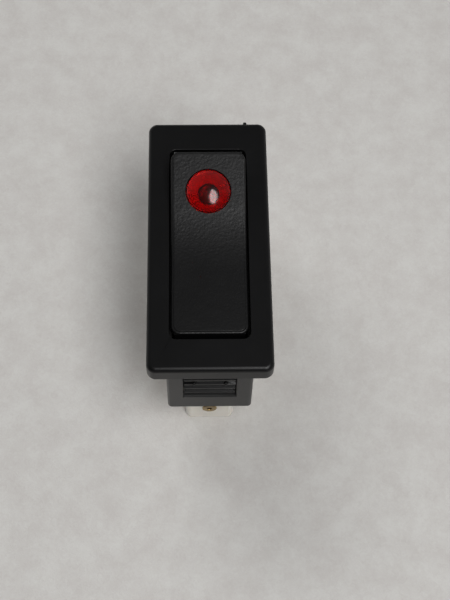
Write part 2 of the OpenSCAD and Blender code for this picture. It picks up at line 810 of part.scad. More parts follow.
bezel_frame();
housing();
terminal_base();
end_rivet();
common_terminal();
load_terminal();
changeover_terminal();
lamp_terminal();
fixed_contact(1);  // fixed_contact_far
fixed_contact(-1);  // fixed_contact_near
contact_arm();
moving_contact(1);  // moving_contact_far
moving_contact(-1);  // moving_contact_near
rocker();
lens();
lamp_bulb();
lamp_cap();
lamp_carrier();
contact_stud(1);  // contact_stud_feed
contact_stud(-1);  // contact_stud_return
plunger();
plunger_spring();
lamp_spring(1);  // lamp_spring_feed
lamp_spring(-1);  // lamp_spring_return
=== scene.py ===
"""Looks of the panel rocker switch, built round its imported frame.

Lengths are in metres and lie in the frame of the part: the origin is the centre of the flange's rear face, +Z
points out of the panel, +Y runs along the switch to its lens end, and X runs across it.
"""

import json
import logging
import math
from dataclasses import dataclass, field
from enum import Enum
from typing import Callable

import bmesh
import bpy
from mathutils import Matrix, Vector


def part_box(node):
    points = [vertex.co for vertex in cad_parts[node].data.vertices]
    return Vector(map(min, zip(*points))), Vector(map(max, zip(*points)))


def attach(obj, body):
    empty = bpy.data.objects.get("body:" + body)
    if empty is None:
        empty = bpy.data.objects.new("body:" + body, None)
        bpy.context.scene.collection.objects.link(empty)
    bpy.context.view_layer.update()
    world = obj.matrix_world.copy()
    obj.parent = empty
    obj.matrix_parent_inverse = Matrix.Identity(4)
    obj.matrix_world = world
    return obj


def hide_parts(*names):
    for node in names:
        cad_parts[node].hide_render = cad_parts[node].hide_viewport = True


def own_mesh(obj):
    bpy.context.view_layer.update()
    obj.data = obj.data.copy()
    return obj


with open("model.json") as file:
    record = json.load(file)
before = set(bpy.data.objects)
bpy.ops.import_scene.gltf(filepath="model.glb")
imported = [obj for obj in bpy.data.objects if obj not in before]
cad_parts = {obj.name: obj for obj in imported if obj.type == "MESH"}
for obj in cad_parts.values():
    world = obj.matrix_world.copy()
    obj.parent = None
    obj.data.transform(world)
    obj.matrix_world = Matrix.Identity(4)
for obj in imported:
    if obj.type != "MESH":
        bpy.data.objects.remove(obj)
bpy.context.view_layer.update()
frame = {"nodes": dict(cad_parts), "record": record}

MM = 0.001
log = logging.getLogger("switch")
Colour = tuple[float, float, float]


class Body(str, Enum):
    """The bodies that pieces ride on."""

    SWITCH = "switch_body"
    ROCKER = "rocker_button"
    PLUNGER = "plunger_nose"
    SEE_SAW = "see_saw"


# ---- Node building ----


class Graph:
    """Adds and links the nodes of one material or node group."""

    def __init__(self, tree: bpy.types.NodeTree) -> None:
        """Starts from an empty tree.

        Args:
            tree: The node tree to fill.
        """
        self.tree = tree
        tree.nodes.clear()

    def add(self, kind: str, settings: dict | None = None, **inputs) -> bpy.types.Node:
        """Adds a node, sets its own settings and sets or links its inputs.

        Args:
            kind: The node's type, without the ShaderNode prefix.
            settings: Attributes of the node itself, such as its operation.
            inputs: Input sockets by name, with spaces written as underscores; a socket is linked.

        Returns:
            The new node.
        """
        node = self.tree.nodes.new("ShaderNode" + kind)
        for name, value in (settings or {}).items():
            setattr(node, name, value)
        for name, value in inputs.items():
            self.feed(node.inputs[name.replace("_", " ")], value)
        return node

    def feed(self, socket: bpy.types.NodeSocket, value) -> None:
        """Links the socket if value is a socket, and sets its number or colour otherwise."""
        if isinstance(value, bpy.types.NodeSocket):
            self.tree.links.new(value, socket)
        else:
            socket.default_value = value

    def math(self, operation: str, first, second=0.0) -> bpy.types.NodeSocket:
        """Adds a Math node and returns its result."""
        node = self.add("Math", {"operation": operation})
        self.feed(node.inputs[0], first)
        self.feed(node.inputs[1], second)
        return node.outputs[0]

    def spread(self, value, low: float, high: float, to_low: float, to_high: float) -> bpy.types.NodeSocket:
        """Adds a Map Range node from low..high to to_low..to_high and returns its result."""
        node = self.add("MapRange", None, Value=value, From_Min=low, From_Max=high, To_Min=to_low, To_Max=to_high)
        return node.outputs["Result"]

    def mix_colour(self, share, first, second) -> bpy.types.NodeSocket:
        """Adds a colour Mix node and returns its result."""
        node = self.add("Mix", {"data_type": "RGBA"})
        self.feed(node.inputs["Factor"], share)
        self.feed(node.inputs[6], first)
        self.feed(node.inputs[7], second)
        return node.outputs[2]

    def place(self, group: bpy.types.NodeTree, **inputs) -> bpy.types.Node:
        """Adds a shared effect and sets or links its inputs by name."""
        node = self.tree.nodes.new("ShaderNodeGroup")
        node.node_tree = group
        for name, value in inputs.items():
            self.feed(node.inputs[name.replace("_", " ")], value)
        return node


def rgba(colour: Colour) -> tuple[float, float, float, float]:
    """Gives a colour its alpha."""
    return (*colour, 1.0)


def new_effect(name: str, numbers: dict[str, float], outputs: list[str]) -> tuple[Graph, dict, bpy.types.Node]:
    """Makes an empty node group with a position input, number inputs and number outputs.

    Args:
        name: The group's name.
        numbers: The number inputs and their default values.
        outputs: The names of the outputs.

    Returns:
        The group's graph, its input sockets by name, and its output node.
    """
    tree = bpy.data.node_groups.new(name, "ShaderNodeTree")
    tree.interface.new_socket("Position", in_out="INPUT", socket_type="NodeSocketVector")
    for title, value in numbers.items():
        socket = tree.interface.new_socket(title, in_out="INPUT", socket_type="NodeSocketFloat")
        socket.default_value = value
    for title in outputs:
        tree.interface.new_socket(title, in_out="OUTPUT", socket_type="NodeSocketFloat")
    graph = Graph(tree)
    enter = tree.nodes.new("NodeGroupInput")
    leave = tree.nodes.new("NodeGroupOutput")
    return graph, {s.name: s for s in enter.outputs}, leave


class Effects:
    """The surface effects that several finishes share, each one node group."""

    def __init__(self) -> None:
        """Builds every effect once."""
        self.grain = self._grain()
        self.mottle = self._mottle()
        self.dust = self._dust()
        self.edges = self._edges()

    def _grain(self) -> bpy.types.NodeTree:
        """Fine spark-eroded grain: small rounded pits over a broader ripple."""
        graph, enter, leave = new_effect("moulded_grain", {"Scale": 4000.0, "Ripple": 0.5}, ["Height"])
        pits = graph.add("TexNoise", None, Vector=enter["Position"], Scale=enter["Scale"], Detail=2.0)
        third = graph.math("MULTIPLY", enter["Scale"], 0.33)
        broad = graph.add("TexNoise", None, Vector=enter["Position"], Scale=third, Detail=1.0)
        ripple = graph.math("MULTIPLY", broad.outputs["Fac"], enter["Ripple"])
        graph.feed(leave.inputs["Height"], graph.math("ADD", pits.outputs["Fac"], ripple))
        return graph.tree

    def _mottle(self) -> bpy.types.NodeTree:
        """Slow change over the surface, from 0 to 1 about a half."""
        graph, enter, leave = new_effect("slow_mottle", {"Scale": 120.0, "Contrast": 1.0}, ["Value"])
        cloud = graph.add("TexNoise", None, Vector=enter["Position"], Scale=enter["Scale"], Detail=4.0, Roughness=0.6)
        centred = graph.math("SUBTRACT", cloud.outputs["Fac"], 0.5)
        spread = graph.math("MULTIPLY", centred, enter["Contrast"])
        node = graph.add("Clamp", None, Value=graph.math("ADD", spread, 0.5))
        graph.feed(leave.inputs["Value"], node.outputs[0])
        return graph.tree

    def _dust(self) -> bpy.types.NodeTree:
        """Sparse round specks: one cell in many holds a speck of its own size."""
        graph, enter, leave = new_effect("dust_specks", {"Scale": 700.0, "Share": 0.03, "Size": 0.16}, ["Mask"])
        cells = graph.add("TexVoronoi", None, Vector=enter["Position"], Scale=enter["Scale"])
        chance = graph.add("SeparateColor", None, Color=cells.outputs["Color"])
        kept = graph.math("LESS_THAN", chance.outputs["Red"], enter["Share"])
        size = graph.math("MULTIPLY", graph.math("ADD", chance.outputs["Green"], 0.4), enter["Size"])
        inside = graph.math("LESS_THAN", cells.outputs["Distance"], size)
        graph.feed(leave.inputs["Mask"], graph.math("MULTIPLY", kept, inside))
        return graph.tree

    def _edges(self) -> bpy.types.NodeTree:
        """Edges that handling has polished, broken up by the grain of the wear."""
        graph, enter, leave = new_effect("edge_polish", {"Start": 0.53, "Scale": 900.0}, ["Mask"])
        point = graph.add("NewGeometry").outputs["Pointiness"]
        rise = graph.math("SUBTRACT", point, enter["Start"])
        cloud = graph.add("TexNoise", None, Vector=enter["Position"], Scale=enter["Scale"], Detail=2.0)
        broken = graph.math("MULTIPLY", graph.math("MULTIPLY", rise, 8.0), cloud.outputs["Fac"])
        node = graph.add("Clamp", None, Value=broken)
        graph.feed(leave.inputs["Mask"], node.outputs[0])
        return graph.tree


# ---- Finishes ----


@dataclass(frozen=True)
class Moulded:
    """A moulded plastic with its grain, slow mottle, polished edges and dust.

    grain is the size of its pits and depth their height; mottle is the share by which its colour changes.
    """

    name: str
    colour: Colour
    roughness: float
    specular: float = 0.5
    grain: float = 0.25 * MM
    depth: float = 0.01 * MM
    mottle: float = 0.15
    dust: float = 0.0
    polish: float = 0.08
    glow: float = 0.0

    def material(self, effects: Effects) -> bpy.types.Material:
        """Builds the material.

        Args:
            effects: The shared effects.

        Returns:
            The new material.
        """
        made = bpy.data.materials.new(self.name)
        made.use_nodes = True
        graph = Graph(made.node_tree)
        position = graph.add("TexCoord").outputs["Object"]
        mottle = graph.place(effects.mottle, Position=position, Scale=160.0, Contrast=1.6).outputs["Value"]
        dark = tuple(c * (1 - self.mottle) for c in self.colour)
        light = tuple(c * (1 + self.mottle) for c in self.colour)
        colour = graph.mix_colour(mottle, rgba(dark), rgba(light))
        if self.dust:
            speck = graph.place(effects.dust, Position=position, Share=self.dust).outputs["Mask"]
            colour = graph.mix_colour(speck, colour, rgba((0.32, 0.31, 0.29)))
        edge = graph.place(effects.edges, Position=position).outputs["Mask"]
        rough = graph.spread(mottle, 0.0, 1.0, self.roughness * 0.92, self.roughness * 1.08)
        rough = graph.math("SUBTRACT", rough, graph.math("MULTIPLY", edge, self.polish))
        grain = graph.place(effects.grain, Position=position, Scale=1.0 / self.grain).outputs["Height"]
        bump = graph.add("Bump", None, Height=grain, Distance=self.depth, Strength=1.0)
        shader = graph.add(
            "BsdfPrincipled", None, Base_Color=colour, Roughness=rough, Normal=bump.outputs[0],
            Specular_IOR_Level=self.specular)
        if self.glow:
            shader.inputs["Subsurface Weight"].default_value = self.glow
            shader.inputs["Subsurface Scale"].default_value = 1.5 * MM
            shader.inputs["Subsurface Radius"].default_value = (1.0, 0.8, 0.6)
        out = graph.add("OutputMaterial", None, Surface=shader.outputs[0])
        out.is_active_output = True
        return made


@dataclass(frozen=True)
class Metal:
    """A plain or plated metal with rolling lines along one axis and a thin tarnish."""

    name: str
    colour: Colour
    roughness: float
    tarnish: Colour = (0.35, 0.25, 0.14)
    tarnish_share: float = 0.25
    lines: float = 1500.0
    stretch: tuple[float, float, float] = (1.0, 1.0, 0.08)

    def material(self, effects: Effects) -> bpy.types.Material:
        """Builds the material.

        Args:
            effects: The shared effects.

        Returns:
            The new material.
        """
        made = bpy.data.materials.new(self.name)
        made.use_nodes = True
        graph = Graph(made.node_tree)
        position = graph.add("TexCoord").outputs["Object"]
        mottle = graph.place(effects.mottle, Position=position, Scale=500.0, Contrast=2.4).outputs["Value"]
        share = graph.math("MULTIPLY", mottle, self.tarnish_share)
        colour = graph.mix_colour(share, rgba(self.colour), rgba(self.tarnish))
        along = graph.add("Mapping", None, Vector=position, Scale=self.stretch)
        rolled = graph.place(effects.grain, Position=along.outputs[0], Scale=self.lines, Ripple=0.2)
        rough = graph.spread(mottle, 0.0, 1.0, self.roughness * 0.8, self.roughness * 1.3)
        bump = graph.add("Bump", None, Height=rolled.outputs["Height"], Distance=0.003 * MM, Strength=1.0)
        shader = graph.add(
            "BsdfPrincipled", None, Base_Color=colour, Roughness=rough, Metallic=1.0, Normal=bump.outputs[0])
        graph.add("OutputMaterial", None, Surface=shader.outputs[0])
        return made


@dataclass(frozen=True)
class Clear:
    """A clear moulding or glass, with the slight waves of its mould."""

    name: str
    colour: Colour
    roughness: float = 0.02
    ior: float = 1.49
    wave: float = 0.004 * MM

    def material(self, effects: Effects) -> bpy.types.Material:
        """Builds the material.

        Args:
            effects: The shared effects.

        Returns:
            The new material.
        """
        made = bpy.data.materials.new(self.name)
        made.use_nodes = True
        graph = Graph(made.node_tree)
        position = graph.add("TexCoord").outputs["Object"]
        waves = graph.place(effects.grain, Position=position, Scale=600.0).outputs["Height"]
        bump = graph.add("Bump", None, Height=waves, Distance=self.wave, Strength=1.0)
        shader = graph.add(
            "BsdfPrincipled", None, Base_Color=rgba(self.colour), Roughness=self.roughness, IOR=self.ior,
            Normal=bump.outputs[0])
        shader.inputs["Transmission Weight"].default_value = 1.0
        graph.add("OutputMaterial", None, Surface=shader.outputs[0])
        return made


class Finish(Enum):
    """Every finish on the switch."""

    BEZEL = Moulded("satin_black_plastic", (0.0036, 0.0036, 0.0038), 0.36, 0.28, 0.25 * MM, 0.004 * MM, dust=0.006)
    ROCKER = Moulded("grained_black_plastic", (0.0035, 0.0035, 0.0037), 0.42, 0.36, 0.5 * MM, 0.05 * MM)
    HOUSING = Moulded("charcoal_plastic", (0.025, 0.0245, 0.0245), 0.42, 0.4, 0.25 * MM, 0.008 * MM)
    BASE = Moulded("cream_nylon", (0.93, 0.88, 0.8), 0.42, 0.5, 0.4 * MM, 0.004 * MM, mottle=0.03, glow=0.3)
    CARRIER = Moulded("dark_carrier_plastic", (0.03, 0.03, 0.032), 0.4, 0.5, 0.3 * MM, 0.004 * MM)
    PLUNGER = Moulded("brown_phenolic", (0.12, 0.045, 0.02), 0.3, 0.5, 0.3 * MM, 0.003 * MM)
    FROSTED = Moulded("frosted_red_plastic", (0.8, 0.03, 0.02), 0.3, 0.5, 0.3 * MM, 0.004 * MM)
    # Mould marks in a lighter red than the lens: partly real marks, partly painted glints of the lens.
    MARKS_AND_GLINTS = Moulded("orange_red_marks_painted_glints", (0.95, 0.16, 0.06), 0.3, 0.5, 0.3 * MM, 0.002 * MM)
    STRIP = Metal("tinned_brass_strip", (0.72, 0.68, 0.58), 0.3, (0.45, 0.36, 0.22), 0.3)
    BRASS = Metal("plain_brass", (0.8, 0.56, 0.22), 0.22, (0.3, 0.17, 0.06), 0.5)
    # The rivet's brass: its heavy near-black tarnish is partly real tarnish and partly painted shade from the
    # housing's overhang.
    AGED_AND_SHADED = Metal("aged_brass_and_painted_shade", (0.5, 0.36, 0.16), 0.2, (0.06, 0.045, 0.03), 0.75)
    COPPER = Metal("copper_alloy_strip", (0.78, 0.42, 0.25), 0.26, (0.35, 0.16, 0.08), 0.3)
    SILVER = Metal("silver_alloy", (0.85, 0.84, 0.8), 0.25, (0.4, 0.36, 0.3), 0.2)
    SPRING = Metal("plated_spring_wire", (0.6, 0.6, 0.62), 0.28, (0.3, 0.29, 0.27), 0.3)
    CAP = Metal("nickel_plated_cap", (0.68, 0.65, 0.58), 0.24, (0.35, 0.3, 0.22), 0.2)
    LENS = Clear("clear_red_plastic", (0.8, 0.016, 0.014), 0.15)
    BULB = Clear("smoked_glass", (0.3, 0.27, 0.25), 0.45, 1.5)


class Palette:
    """The built materials, one for each finish."""

    def __init__(self) -> None:
        """Builds the shared effects and every material."""
        effects = Effects()
        self.made = {finish: finish.value.material(effects) for finish in Finish}

    def dress(self, piece: bpy.types.Object, finish: Finish) -> None:
        """Gives the piece one finish all over."""
        piece.data.materials.clear()
        piece.data.materials.append(self.made[finish])


# ---- Mesh helpers ----


def merged_copy(node: str) -> bmesh.types.BMesh:
    """Copies a node's mesh with its loose triangles joined and its flat faces whole.

    Args:
        node: The name of the node in the frame.

    Returns:
        A closed mesh that is ready for its edges to be rounded.
    """
    mesh = bmesh.new()
    mesh.from_mesh(frame["nodes"][node].data)
    bmesh.ops.remove_doubles(mesh, verts=mesh.verts, dist=0.001 * MM)
    bmesh.ops.dissolve_limit(mesh, angle_limit=math.radians(0.4), verts=mesh.verts, edges=mesh.edges)
    return mesh


def sharp_edges(mesh: bmesh.types.BMesh, angle: float = 30.0) -> list[bmesh.types.BMEdge]:
    """Returns the edges that turn by more than an angle in degrees."""
    limit = math.radians(angle)
    return [e for e in mesh.edges if e.is_manifold and e.calc_face_angle(0.0) > limit]


def round_edges(
    mesh: bmesh.types.BMesh, edges: list[bmesh.types.BMEdge], width: float, segments: int = 2, clamp: bool = True
) -> None:
    """Rounds some of a mesh's edges.

    Args:
        mesh: The mesh to change.
        edges: The edges to round.
        width: How far the rounding reaches from the edge.
        segments: The number of faces across it.
        clamp: Whether short edges hold the rounding back.
    """
    bmesh.ops.bevel(
        mesh, geom=edges, offset=width, offset_type="OFFSET", affect="EDGES", segments=segments, profile=0.5,
        material=-1, clamp_overlap=clamp)
    mesh.normal_update()


def outline_gap(x: float, y: float, half_x: float, half_y: float, corner: float) -> float:
    """Returns how far a point lies outside a rectangle with round corners, negative inside."""
    over_x, over_y = abs(x) - half_x + corner, abs(y) - half_y + corner
    return math.hypot(max(over_x, 0.0), max(over_y, 0.0)) + min(max(over_x, over_y), 0.0) - corner


def turned_mesh(profile: list[tuple[float, float]], steps: int = 96) -> bmesh.types.BMesh:
    """Turns a profile about Z into a mesh.

    Args:
        profile: Points as radius and height, in order round the section.
        steps: The number of steps in the full turn.

    Returns:
        The turned mesh, with its seam and its points on the axis joined.
    """
    mesh = bmesh.new()
    points = [mesh.verts.new((radius, 0.0, height)) for radius, height in profile]
    edges = [mesh.edges.new(pair) for pair in zip(points, points[1:])]
    if profile[0][0] > 0.0:
        edges.append(mesh.edges.new((points[-1], points[0])))
    bmesh.ops.spin(
        mesh, geom=points + edges, cent=(0, 0, 0), axis=(0, 0, 1), angle=2 * math.pi, steps=steps, use_merge=True)
    bmesh.ops.remove_doubles(mesh, verts=mesh.verts, dist=0.001 * MM)
    return mesh


def make_piece(
    mesh: bmesh.types.BMesh, name: str, body: Body, slot: str, *nodes: str, smooth: float = 38.0
) -> bpy.types.Object:
    """Turns a finished mesh into a piece that rides on a body and stands for nodes.

    Args:
        mesh: The mesh, which is freed.
        name: The piece's name.
        body: The body that it rides on.
        slot: The record's material slot of the nodes; not used.
        nodes: The nodes that it stands for.
        smooth: The turn in degrees above which an edge stays crisp.

    Returns:
        The new object.
    """
    bmesh.ops.recalc_face_normals(mesh, faces=mesh.faces)
    data = bpy.data.meshes.new(name)
    mesh.to_mesh(data)
    mesh.free()
    data.shade_smooth()
    data.set_sharp_from_angle(angle=math.radians(smooth))
    piece = bpy.data.objects.new(name, data)
    bpy.context.scene.collection.objects.link(piece)
    steady = piece.modifiers.new("even_normals", "WEIGHTED_NORMAL")
    steady.keep_sharp = True
    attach(piece, body.value)
    if nodes:
        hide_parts(*nodes)
    return piece


def slot_of(node: str) -> str:
    """Returns the record's material slot of a node."""
    parts = {part["node"]: part["material_slot"] for part in frame["record"]["subparts"]}
    return parts[node]


@dataclass
class SubAssembly:
    """Nodes of one part of the switch: each gets a finish, and those shown by round_copy a copy with rounded edges.
    """

    palette: Palette
    body: Body = Body.SWITCH
    pieces: list[str] = field(default_factory=list)

    def round_copy(self, node: str, width: float, finish: Finish, segments: int = 2, angle: float = 30.0) -> None:
        """Replaces a node by a copy with rounded edges.

        Args:
            node: The node's name.
            width: How far the rounding reaches.
            finish: The copy's finish.
            segments: The number of faces across the rounding.
            angle: The smallest turn in degrees that counts as an edge.
        """
        mesh = merged_copy(node)
        round_edges(mesh, sharp_edges(mesh, angle), width, segments)
        piece = make_piece(mesh, node + "_shown", self.body, slot_of(node), node)
        self.palette.dress(piece, finish)
        self.report(piece)

    def keep_node(self, node: str, finish: Finish) -> None:
        """Shows a node as it is, with a finish."""
        piece = frame["nodes"][node]
        self.palette.dress(piece, finish)
        self.report(piece)

    def report(self, piece: bpy.types.Object) -> None:
        """Logs a finished piece."""
        self.pieces.append(piece.name)
        log.info("%s: %d faces on %s", piece.name, len(piece.data.polygons), self.body.value)


@dataclass
class Bezel(SubAssembly):
    """The flange with its latch legs."""

    flange_face: float = 3.5 * MM
    rim_round: float = 0.14 * MM
    burr_at: Vector = field(default_factory=lambda: Vector((7.2, 26.0, 2.95)) * MM)
    burr_r: float = 0.34 * MM

    def build(self) -> None:
        """Builds the frame and the burr that its mould left on the far edge."""
        mesh = merged_copy("bezel_frame")
        top = [e for e in sharp_edges(mesh) if all(v.co.z > self.flange_face - 0.02 * MM for v in e.verts)]
        round_edges(mesh, top, self.rim_round, 3, clamp=False)
        low = [e for e in sharp_edges(mesh) if all(v.co.z < 0.5 * self.flange_face for v in e.verts)]
        round_edges(mesh, low, 0.08 * MM)
        piece = make_piece(mesh, "bezel_frame_shown", self.body, slot_of("bezel_frame"), "bezel_frame")
        self.palette.dress(piece, Finish.BEZEL)
        self.report(piece)
        burr = bmesh.new()
        bmesh.ops.create_icosphere(burr, subdivisions=3, radius=self.burr_r)
        for vert in burr.verts:
            vert.co *= 1.0 + 0.3 * math.sin(3.0 * vert.co.x / self.burr_r) * math.cos(4.0 * vert.co.z / self.burr_r)
        bmesh.ops.translate(burr, verts=burr.verts, vec=self.burr_at)
        piece = make_piece(burr, "edge_burr", self.body, slot_of("bezel_frame"))
        self.palette.dress(piece, Finish.BEZEL)
        self.report(piece)


@dataclass
class Housing(SubAssembly):
    """The charcoal housing behind the panel."""

    def build(self) -> None:
        """Builds the piece."""
        self.round_copy("housing", 0.13 * MM, Finish.HOUSING, 3)


@dataclass
class Connector(SubAssembly):
    """The cream base with its shroud, blades and end rivet."""

    def build(self) -> None:
        """Builds the pieces."""
        self.round_copy("terminal_base", 0.18 * MM, Finish.BASE)
        # The rivet's dark tarnish is partly painted shade from the housing above it.
        self.round_copy("end_rivet", 0.16 * MM, Finish.AGED_AND_SHADED, 4)
        for node in ("common_terminal", "load_terminal", "changeover_terminal", "lamp_terminal"):
            self.round_copy(node, 0.06 * MM, Finish.STRIP)
        for node in ("fixed_contact_far", "fixed_contact_near"):
            self.keep_node(node, Finish.SILVER)


@dataclass
class ContactArm(SubAssembly):
    """The see-saw arm and its two contacts."""

    body: Body = Body.SEE_SAW

    def build(self) -> None:
        """Builds the pieces."""
        self.round_copy("contact_arm", 0.06 * MM, Finish.COPPER)
        for node in ("moving_contact_far", "moving_contact_near"):
            self.keep_node(node, Finish.SILVER)


@dataclass
class Rocker(SubAssembly):
    """The dished rocker, its plunger and the plunger's spring.

    The face is raised over a shoulder; shoulder_round rounds the shoulder's outer edge and face_round the face's.
    """

    body: Body = Body.ROCKER
    half_l: float = 17.7 * MM
    half_w: float = 6.9 * MM
    corner: float = 1.6 * MM
    shoulder: float = 0.5 * MM
    shoulder_round: float = 0.36 * MM
    face_round: float = 0.12 * MM
    tilt: float = math.radians(8)
    pivot: Vector = field(default_factory=lambda: Vector((0, 0, -3.2)) * MM)
    bore_top: float = 3.6 * MM
    plunger_travel: float = 0.4 * MM

    def build(self) -> None:
        """Builds the pieces."""
        mesh = merged_copy("rocker")
        round_edges(mesh, self._top_edges(mesh, -self.shoulder), self.face_round, 2, clamp=False)
        round_edges(mesh, self._top_edges(mesh, 0.0), self.shoulder_round, 4, clamp=False)
        piece = make_piece(mesh, "rocker_shown", self.body, slot_of("rocker"), "rocker", smooth=30.0)
        self.palette.dress(piece, Finish.ROCKER)
        self.report(piece)
        self._spring()
        self.body = Body.PLUNGER
        self.keep_node("plunger", Finish.PLUNGER)

    def _top_edges(self, mesh: bmesh.types.BMesh, gap: float) -> list[bmesh.types.BMEdge]:
        """Finds the upper edges that run round the rocker at one distance outside its outline.

        Args:
            mesh: The rocker's mesh.
            gap: The distance, negative inside the outline.

        Returns:
            The edges that are convex and border an upper face.
        """
        level = (Matrix.Translation(self.pivot) @ Matrix.Rotation(self.tilt, 4, "X")).inverted()
        found = []
        for edge in sharp_edges(mesh):
            spots = [level @ v.co for v in edge.verts]
            on_line = all(
                abs(outline_gap(p.x, p.y, self.half_w, self.half_l, self.corner) - gap) < 0.03 * MM for p in spots)
            if on_line and edge.is_convex and max(f.normal.z for f in edge.link_faces) > 0.8:
                found.append(edge)
        return found

    def _spring(self) -> None:
        """Builds the plunger's spring, with a mesh of its own."""
        mesh = merged_copy("plunger_spring")
        piece = make_piece(mesh, "plunger_spring_shown", self.body, slot_of("plunger_spring"), "plunger_spring")
        self.palette.dress(piece, Finish.SPRING)
        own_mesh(piece)
        self.report(piece)


@dataclass
class Lens(SubAssembly):
    """The clear red cap of the lens, the frosted body under it and the mould marks between them, whose lighter red
    paints small glints.

    Its own axis is Z, with Z = 0 on the rocker's face, until it is seated.
    """

    body: Body = Body.ROCKER
    radius: float = 4.05 * MM
    rise: float = 1.4 * MM
    wall: float = 0.8 * MM
    foot: float = 2.35 * MM
    flange: float = 0.75 * MM
    flange_t: float = 0.8 * MM
    edge: float = 0.08 * MM
    cap_t: float = 0.45 * MM
    cone_foot_r: float = 2.0 * MM
    cone_foot: float = 2.2 * MM
    seam: float = 0.04 * MM
    seat: Vector = field(default_factory=lambda: Vector((0, 8.866, 6.290)) * MM)
    tilt: float = math.radians(16.5)

    def build(self) -> None:
        """Builds the pieces."""
        self._finish(turned_mesh(self._section()), "lens_shown", Finish.LENS, "lens")
        top, shelf, brim = -self.cap_t - self.seam, self.flange_t - self.foot, self.radius + self.flange
        body = [
            (self.cone_foot_r, -self.foot), (self.cone_foot_r, -self.cone_foot), (self.radius - self.edge, top),
            (self.radius, top), (self.radius, shelf), (brim, shelf), (brim, -self.foot)]
        self._finish(turned_mesh(body), "lens_frosted_body", Finish.FROSTED)
        # The marks' lighter red paints small glints under the dome.
        self._finish(self._marks(), "lens_mould_marks_and_glints", Finish.MARKS_AND_GLINTS)

    def _dome(self, shrink: float, steps: int = 16) -> list[tuple[float, float]]:
        """Returns the dome's profile from its top to its wall, moved inwards by a distance."""
        ball = (self.radius ** 2 + self.rise ** 2) / (2 * self.rise) - shrink
        centre = self.rise - shrink - ball
        reach = math.asin((self.radius - shrink) / ball)
        return [(ball * math.sin(a), centre + ball * math.cos(a)) for a in (reach * i / steps for i in range(steps + 1))]

    def _section(self) -> list[tuple[float, float]]:
        """Returns the clear cap's section, from the dome's top round its edge to the hollow's top."""
        outside, inside = self._dome(0.0), self._dome(self.wall)
        top, height = outside[-1]
        outside[-1] = (top - self.edge, height + 0.6 * self.edge)
        return outside + [(top, height - self.edge), (top, -self.cap_t), (inside[-1][0], -self.cap_t)] + inside[::-1]

    def _marks(self) -> bmesh.types.BMesh:
        """Returns the small ring and the two beads that the mould left under the dome, in a lighter red that paints
        small glints in the lens.
        """
        mesh = bmesh.new()
        ring_r, ring_wire = 0.62 * MM, 0.07 * MM
        turn, across = 32, 10
        rows = []
        for i in range(turn):
            a = 2 * math.pi * i / turn
            out = Vector((math.cos(a), math.sin(a), 0))
            rows.append([
                mesh.verts.new(out * (ring_r + ring_wire * math.cos(b)) + Vector((0, 0, ring_wire * math.sin(b))))
                for b in (2 * math.pi * j / across for j in range(across))])
        for i, row in enumerate(rows):
            after = rows[(i + 1) % turn]
            for j in range(across):
                k = (j + 1) % across
                mesh.faces.new((row[j], row[k], after[k], after[j]))
        bmesh.ops.translate(mesh, verts=mesh.verts, vec=Vector((-2.45, -1.2, -0.1)) * MM)
        for size, spot in ((0.24, (2.2, 0.85, -0.05)), (0.16, (2.75, 1.15, -0.3))):
            place = Matrix.Translation(Vector(spot) * MM)
            bmesh.ops.create_icosphere(mesh, subdivisions=3, radius=size * MM, matrix=place)
        return mesh

    def _finish(self, mesh: bmesh.types.BMesh, name: str, finish: Finish, *nodes: str) -> None:
        """Seats a mesh in the rocker and makes it a piece."""
        place = Matrix.Translation(self.seat) @ Matrix.Rotation(self.tilt, 4, "X")
        bmesh.ops.transform(mesh, matrix=place, verts=mesh.verts)
        piece = make_piece(mesh, name, self.body, slot_of("lens"), *nodes)
        self.palette.dress(piece, finish)
        self.report(piece)


@dataclass
class Lamp(SubAssembly):
    """Behind the lens: the lamp, its carrier and studs, and the springs that feed it."""

    body: Body = Body.ROCKER
    spring_foot: float = -15.0 * MM
    spring_keep: float = 0.72

    def build(self) -> None:
        """Builds the pieces."""
        self.keep_node("lamp_bulb", Finish.BULB)
        self.keep_node("lamp_cap", Finish.CAP)
        self.keep_node("lamp_carrier", Finish.CARRIER)
        for node in ("contact_stud_feed", "contact_stud_return"):
            self.keep_node(node, Finish.BRASS)
        self.body = Body.SWITCH
        for node in ("lamp_spring_feed", "lamp_spring_return"):
            piece = make_piece(merged_copy(node), node + "_shown", self.body, slot_of(node), node)
            self.palette.dress(piece, Finish.SPRING)
            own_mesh(piece)
            self.report(piece)


# ---- Studio ----


@dataclass(frozen=True)
class CameraPlan:
    """Where the camera stands, what it looks at and how far it leans."""

    place: Vector = Vector((-2.1, -109.66, 197.755)) * MM
    target: Vector = Vector((2.84, -10.48, 0.0)) * MM
    roll: float = math.radians(2.115)
    lens: float = 73.0
    sensor: float = 36.0

    def build(self) -> None:
        """Makes the camera and looks through it."""
        ahead = (self.target - self.place).normalized()
        level = ahead.cross(Vector((0, 0, 1))).normalized()
        upright = level.cross(ahead)
        right = level * math.cos(self.roll) + upright * math.sin(self.roll)
        up = upright * math.cos(self.roll) - level * math.sin(self.roll)
        data = bpy.data.cameras.new("camera")
        data.lens = self.lens
        data.sensor_width = self.sensor
        data.clip_start = 0.01
        camera = bpy.data.objects.new("camera", data)
        camera.matrix_world = Matrix.Translation(self.place) @ Matrix((right, up, -ahead)).transposed().to_4x4()
        bpy.context.scene.collection.objects.link(camera)
        bpy.context.scene.camera = camera


